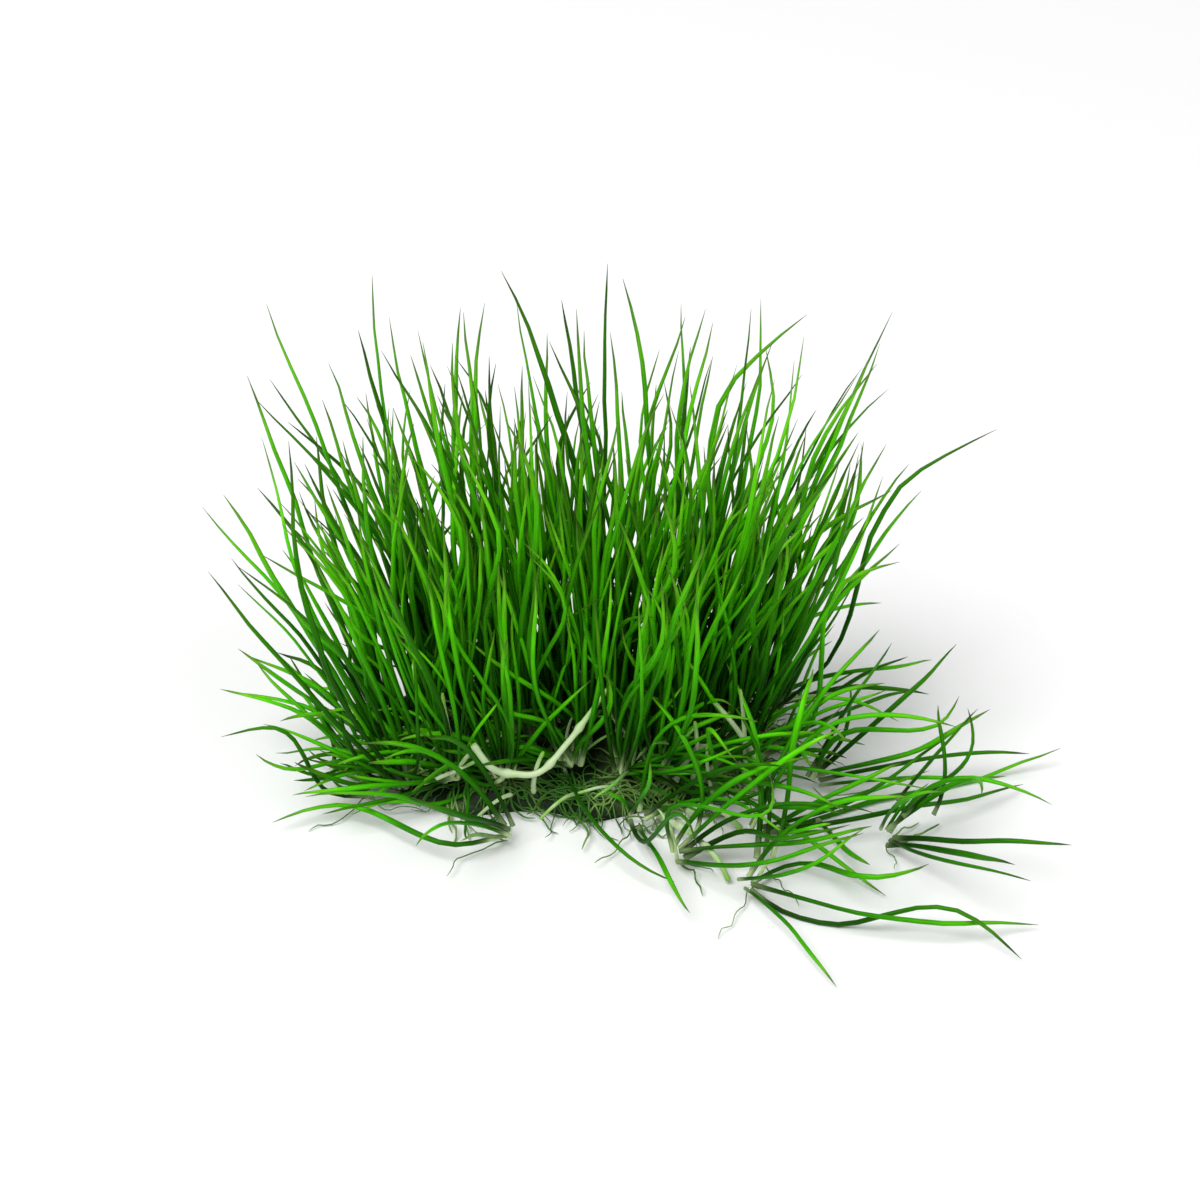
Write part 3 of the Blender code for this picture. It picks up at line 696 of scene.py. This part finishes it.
def pale_material(name, colours, roughness, grain, greening=None):
    """Pale wet stems and roots, with green showing through in places, and towards a stem's end."""
    made, tree, shader = finish_material(name)
    look = PALE_LOOK
    place = tree.add("ShaderNodeTexCoord").outputs["Object"]
    broad = tree.noise(place, look.patches, look.patch_detail)
    fine = tree.noise(place, grain, look.fine_detail)
    stops = [(stop, tuple(colour)) for stop, colour in zip(PALE_STOPS, colours)]
    colour = tree.ramp(tree.maths("ADD", broad, tree.maths("MULTIPLY", fine, look.fine_share)), stops)
    if greening:
        colour = tree.mix(tree.curve(tree.attribute("along"), STEM_GREENING), colour, tuple(greening))
    tree.feed(shader.inputs["Base Color"], colour)
    roughen(tree, shader, roughness, fine, look.roughness_range)
    shader.inputs["Specular IOR Level"].default_value = look.gloss
    bump(tree, shader, fine, look)
    return made


def roughen(tree, shader, least, pattern, more):
    tree.feed(shader.inputs["Roughness"], tree.maths("ADD", least, tree.maths("MULTIPLY", pattern, more)))


def bump(tree, shader, height, look):
    relief = tree.made("ShaderNodeBump", {"Height": height, "Strength": look.relief, "Distance": look.depth})
    tree.feed(shader.inputs["Normal"], relief)


def floor_material(colour):
    made, _, shader = finish_material("Pale floor")
    shader.inputs["Base Color"].default_value = (*colour, 1)
    shader.inputs["Roughness"].default_value = FLOOR_ROUGHNESS
    shader.inputs["Specular IOR Level"].default_value = FLOOR_GLOSS
    return made


# Settings

def length_setting(name, description, default):
    return FloatProperty(name=name, description=description, default=default, min=0, precision=5, unit="LENGTH")


def colour_setting(name, description, default):
    return FloatVectorProperty(
        name=name, description=description, default=default, size=3, min=0, max=1, subtype="COLOR"
    )


class BladeSizes(bpy.types.PropertyGroup):
    blade_radius: length_setting("Blade radius", "From the middle of a blade to its edge", 0.34 * MM)
    steps: IntProperty(name="Steps", description="Rings along each blade", default=16, min=4)
    sides: IntProperty(name="Sides", description="Corners of a blade's section", default=6, min=3)
    flatness: FloatProperty(name="Flatness", description="A blade's thickness over its width", default=0.78)
    sway: FloatProperty(name="Sway", description="Most that a blade sways, over its length", default=0.11)
    wander: length_setting("Wander", "How far blades stray from a smooth curve", 2.1 * MM)
    fine_blades: IntProperty(name="Fine blades", description="Thinner blades added to a tuft", default=4, min=0)
    crossing_blades: IntProperty(
        name="Crossing blades", description="Blades that lean into the next tuft", default=3, min=0
    )
    sweeping_blades: IntProperty(
        name="Sweeping blades", description="Low blades on a tuft at the front", default=14, min=0
    )
    short_shoots: IntProperty(name="Short shoots", description="New shoots round a tuft's crown", default=4, min=0)
    seed: IntProperty(name="Seed", description="Another number grows another plant", default=4)


class RootSizes(bpy.types.PropertyGroup):
    roots: IntProperty(name="Roots", description="Fine roots on the mat", default=640, min=0)
    root_radius: length_setting("Root radius", "From the middle of a root to its edge", 0.16 * MM)
    runner_radius: length_setting("Runner radius", "From the middle of a runner to its edge", 0.5 * MM)
    joint_spacing: length_setting("Joint spacing", "Between the joints of a runner", 7 * MM)
    seed: IntProperty(name="Seed", description="Another number lays the roots another way", default=7)


class BladeColours(bpy.types.PropertyGroup):
    foot: colour_setting("Foot", "Where a blade leaves its crown", (0.52, 0.62, 0.33))
    # Painted shade: a near-black green on the lower part of each blade, standing for the shade inside the clump.
    painted_shade_green: colour_setting("Deep green", "Lower part, in the shade", (0.007, 0.055, 0.0004))
    green: colour_setting("Green", "Middle of a blade", (0.019, 0.165, 0.0008))
    bright: colour_setting("Bright green", "Upper part", (0.048, 0.33, 0.0015))
    yellowing: colour_setting("Yellowing", "Near the tip", (0.085, 0.33, 0.007))
    dry: colour_setting("Dry", "The tip", (0.06, 0.14, 0.018))


class PaleColours(bpy.types.PropertyGroup):
    runner: colour_setting("Runner", "Runners", (0.5, 0.64, 0.36))
    runner_green: colour_setting("Runner green", "Where a runner greens", (0.2, 0.45, 0.05))
    root: colour_setting("Root", "Fine roots", (0.19, 0.34, 0.075))
    root_green: colour_setting("Root green", "Where the roots green", (0.035, 0.15, 0.006))
    # Painted shade and light on the mat: its near-black green stands for the shade under the tufts, and its
    # lighter patches are painted light.
    mat_painted_shade: colour_setting("Mat, dark", "The matted roots in the shade", (0.005, 0.02, 0.002))
    mat_painted_light: colour_setting("Mat, light", "The matted roots where they catch light", (0.06, 0.11, 0.02))


class StudioSettings(bpy.types.PropertyGroup):
    elevation: FloatProperty(
        name="Elevation", description="How far the camera looks down", default=math.radians(33), subtype="ANGLE"
    )
    distance: length_setting("Distance", "From the camera to what it looks at", 0.5)
    view_height: length_setting(
        "View height", "How far above the origin the view's middle is, in the picture", 0.0196
    )
    scale: length_setting("Scale", "What one of the picture's pixels spans", 0.14 * MM)
    floor: colour_setting("Floor", "The floor's colour", (0.9, 0.9, 0.9))
    sky: FloatProperty(name="Sky", description="Strength of the light from all round", default=0.33)
    key: FloatProperty(name="Key", description="Strength of the main light, in watts", default=37.0)


# Operators

def settings(name):
    return getattr(bpy.context.scene, f"hairgrass_{name}")


class HAIRGRASS_OT_tufts(bpy.types.Operator):
    """Grow the blades of every tuft on its solid"""

    bl_idname = "hairgrass.tufts"
    bl_label = "Grow the tufts"

    def execute(self, context):
        sizes = settings("blades")
        group, surface = blade_tree(), blade_material(settings("greens"))
        ground = Ground()
        blades = {name: solid_blades(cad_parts[name]) for name in TUFTS}
        if not all(blades.values()):
            raise RuntimeError("a tuft has no blades")
        crowns = {name: crown(found) for name, found in blades.items()}
        for name in TUFTS:
            lying = name.startswith(LYING)
            habit = LYING_TUFT if lying else UPRIGHT_TUFT
            near = [
                blades[other] for other in TUFTS
                if other != name and (crowns[other] - crowns[name]).length < habit.near * MM
            ]
            tuft = Kind(
                blades=blades[name], neighbours=near, sizes=sizes, ground=ground, lying=lying, habit=habit
            )
            lines = tuft_lines(tuft, random.Random(f"{name} {sizes.seed}"))
            piece = grown(name.replace("tuft", "blades", 1), lines, group, {
                "Radius": sizes.blade_radius, "Steps": sizes.steps, "Sides": sizes.sides,
                "Flatness": sizes.flatness, "Wander": sizes.wander, "Material": surface,
            })
            stands_for(piece, "blades", name)
        return {"FINISHED"}


class HAIRGRASS_OT_runners(bpy.types.Operator):
    """Grow the pale, jointed runners on their solids"""

    bl_idname = "hairgrass.runners"
    bl_label = "Grow the runners"

    def execute(self, context):
        pale, sizes = settings("pales"), settings("roots")
        green = pale.runner_green
        surface = pale_material(
            "Pale runner", (green, pale.runner, pale.runner), roughness=0.3, grain=900.0, greening=green
        )
        group = tube_tree("Jointed stems")
        rng = random.Random(sizes.seed)
        for name in RUNNERS:
            points = runner_line(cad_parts[name])
            reach = sum((a - b).length for a, b in zip(points, points[1:]))
            line = {"points": points, "girth": 1.0, "tone": rng.random()}
            knots = math.pi * max(1, round(reach / sizes.joint_spacing))
            piece = grown(name.replace("runner", "stem", 1), [line], group, {
                "Radius": sizes.runner_radius, "Steps": 48, "Sides": 10, "Wander": 0.3 * MM,
                "Knots": knots, "Knot size": 0.45, "Material": surface,
            })
            stands_for(piece, "runners", name)
        return {"FINISHED"}


class HAIRGRASS_OT_root_mat(bpy.types.Operator):
    """Make the mat of roots that the tufts grow from"""

    bl_idname = "hairgrass.root_mat"
    bl_label = "Make the root mat"

    def execute(self, context):
        pale = settings("pales")
        # The mat's colours are painted shade, with patches of painted light.
        surface = pale_material(
            "Matted roots", (pale.mat_painted_shade, pale.mat_painted_shade, pale.mat_painted_light), roughness=0.6, grain=1400.0
        )
        shape = welded(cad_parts[MAT].data)
        bmesh.ops.subdivide_edges(
            shape, edges=shape.edges, cuts=MAT_CUTS, use_grid_fill=True, smooth=MAT_ROUNDING
        )
        shape.normal_update()
        for v in shape.verts:
            if v.co.z > MAT_FOOT * MM:
                v.co += v.normal * (noise.noise(v.co * MAT_LUMPS) * MAT_RISE - MAT_SINK) * MM
            v.co.z = max(v.co.z, 0)
        mesh = bpy.data.meshes.new("matted_roots")
        shape.to_mesh(mesh)
        shape.free()
        mesh.materials.append(surface)
        mesh.shade_smooth()
        stands_for(linked("matted_roots", mesh), "roots", MAT)
        return {"FINISHED"}


class HAIRGRASS_OT_roots(bpy.types.Operator):
    """Grow the fine roots that creep over the mat, and the pale stems at its front"""

    bl_idname = "hairgrass.roots"
    bl_label = "Grow the roots"

    def execute(self, context):
        pale, sizes = settings("pales"), settings("roots")
        rng = random.Random(sizes.seed)
        feet = []
        for name in TUFTS:
            foot = crown(solid_blades(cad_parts[name]))
            feet += [foot] * (1 if name.startswith(LYING) else UPRIGHT_ROOTS)
        group = tube_tree("Roots")
        surface = pale_material(
            "Fine roots", (pale.root_green, pale.root_green, pale.root), roughness=0.45, grain=1500.0
        )
        piece = grown("fine_roots", root_lines(sizes, feet, Ground(), rng), group, {
            "Radius": sizes.root_radius, "Steps": 14, "Sides": 5, "Wander": 1.0 * MM,
            "Knots": 3.0, "Knot size": 0.0, "Material": surface,
        })
        stands_for(piece, "roots")
        green = pale.runner_green
        surface = pale_material(
            "Pale stems", (green, pale.runner, pale.runner), roughness=0.35, grain=900.0, greening=green
        )
        lines = []
        for *curve, girth in PALE_STEMS:
            curve = [Vector(p) * MM for p in curve]
            points = [bezier(*curve, k / (STEM_POINTS - 1)) for k in range(STEM_POINTS)]
            lines.append({"points": points, "girth": girth, "tone": rng.random()})
        piece = grown("pale_stems", lines, group, {
            "Radius": sizes.runner_radius * STEM_GIRTH, "Steps": 24, "Sides": 8, "Wander": 0.3 * MM,
            "Knots": math.pi, "Knot size": 0.25, "Material": surface,
        })
        stands_for(piece, "runners")
        return {"FINISHED"}


class HAIRGRASS_OT_studio(bpy.types.Operator):
    """Set up the pale floor, the soft light and the camera"""

    bl_idname = "hairgrass.studio"
    bl_label = "Set up the studio"

    def execute(self, context):
        studio = settings("studio")
        scene = context.scene
        add_floor(floor_material(tuple(studio.floor)))
        add_sky(scene, studio.sky)
        add_light("Key light", KEY_PLACE, KEY_SIZE, studio.key)
        add_light("Fill light", FILL_PLACE, FILL_SIZE, studio.key * FILL_SHARE)
        add_camera(scene, studio)
        scene.view_settings.view_transform = "Standard"
        return {"FINISHED"}


def add_floor(surface):
    shape = bmesh.new()
    bmesh.ops.create_circle(shape, cap_ends=True, segments=FLOOR_CORNERS, radius=FLOOR_RADIUS)
    mesh = bpy.data.meshes.new("floor")
    shape.to_mesh(mesh)
    shape.free()
    mesh.materials.append(surface)
    floor = linked("floor", mesh)


def add_sky(scene, strength):
    world = bpy.data.worlds.new("Soft light")
    world.use_nodes = True
    back = world.node_tree.nodes["Background"]
    back.inputs["Color"].default_value = WHITE
    back.inputs["Strength"].default_value = strength
    scene.world = world


def add_light(name, place, size, power):
    light = bpy.data.lights.new(name, "AREA")
    light.shape = "DISK"
    light.size = size
    light.energy = power
    holder = linked(name, light)
    holder.location = place
    holder.rotation_euler = (LIGHT_AIM - Vector(place)).to_track_quat("-Z", "Y").to_euler()


def add_camera(scene, studio):
    """A camera that shows the plane through the origin at the picture's scale, tilted down and not turned."""
    tilt = studio.elevation
    above = Vector((0, math.sin(tilt), math.cos(tilt)))
    back = Vector((0, -math.cos(tilt), math.sin(tilt)))
    lens = bpy.data.cameras.new("Camera")
    lens.sensor_width = SENSOR
    lens.lens = SENSOR * studio.distance / studio.scale / PICTURE
    lens.clip_start = CLIP
    camera = linked("Camera", lens)
    camera.location = above * studio.view_height + back * studio.distance
    camera.rotation_euler = (math.pi / 2 - tilt, 0, 0)
    scene.camera = camera


class HAIRGRASS_PT_panel(bpy.types.Panel):
    """The clump's settings and operators"""

    bl_label = "Hairgrass"
    bl_idname = "HAIRGRASS_PT_panel"
    bl_space_type = "VIEW_3D"
    bl_region_type = "UI"
    bl_category = "Hairgrass"

    def draw(self, context):
        for name in GROUPS:
            box = self.layout.box()
            group = settings(name)
            for key in group.__annotations__:
                box.prop(group, key)
        for operator in OPERATORS:
            self.layout.operator(operator.bl_idname)


GROUPS = {
    "blades": BladeSizes, "roots": RootSizes, "greens": BladeColours, "pales": PaleColours,
    "studio": StudioSettings,
}
OPERATORS = (
    HAIRGRASS_OT_root_mat, HAIRGRASS_OT_roots, HAIRGRASS_OT_runners, HAIRGRASS_OT_tufts, HAIRGRASS_OT_studio,
)


def register():
    for item in (*GROUPS.values(), *OPERATORS, HAIRGRASS_PT_panel):
        bpy.utils.register_class(item)
    for name, group in GROUPS.items():
        setattr(bpy.types.Scene, f"hairgrass_{name}", PointerProperty(type=group))


def unregister():
    for name in GROUPS:
        delattr(bpy.types.Scene, f"hairgrass_{name}")
    for item in (HAIRGRASS_PT_panel, *reversed(OPERATORS), *reversed(tuple(GROUPS.values()))):
        bpy.utils.unregister_class(item)


def main():
    register()
    bpy.ops.hairgrass.root_mat()
    bpy.ops.hairgrass.roots()
    bpy.ops.hairgrass.runners()
    bpy.ops.hairgrass.tufts()
    bpy.ops.hairgrass.studio()


if __name__ == "__main__":
    main()
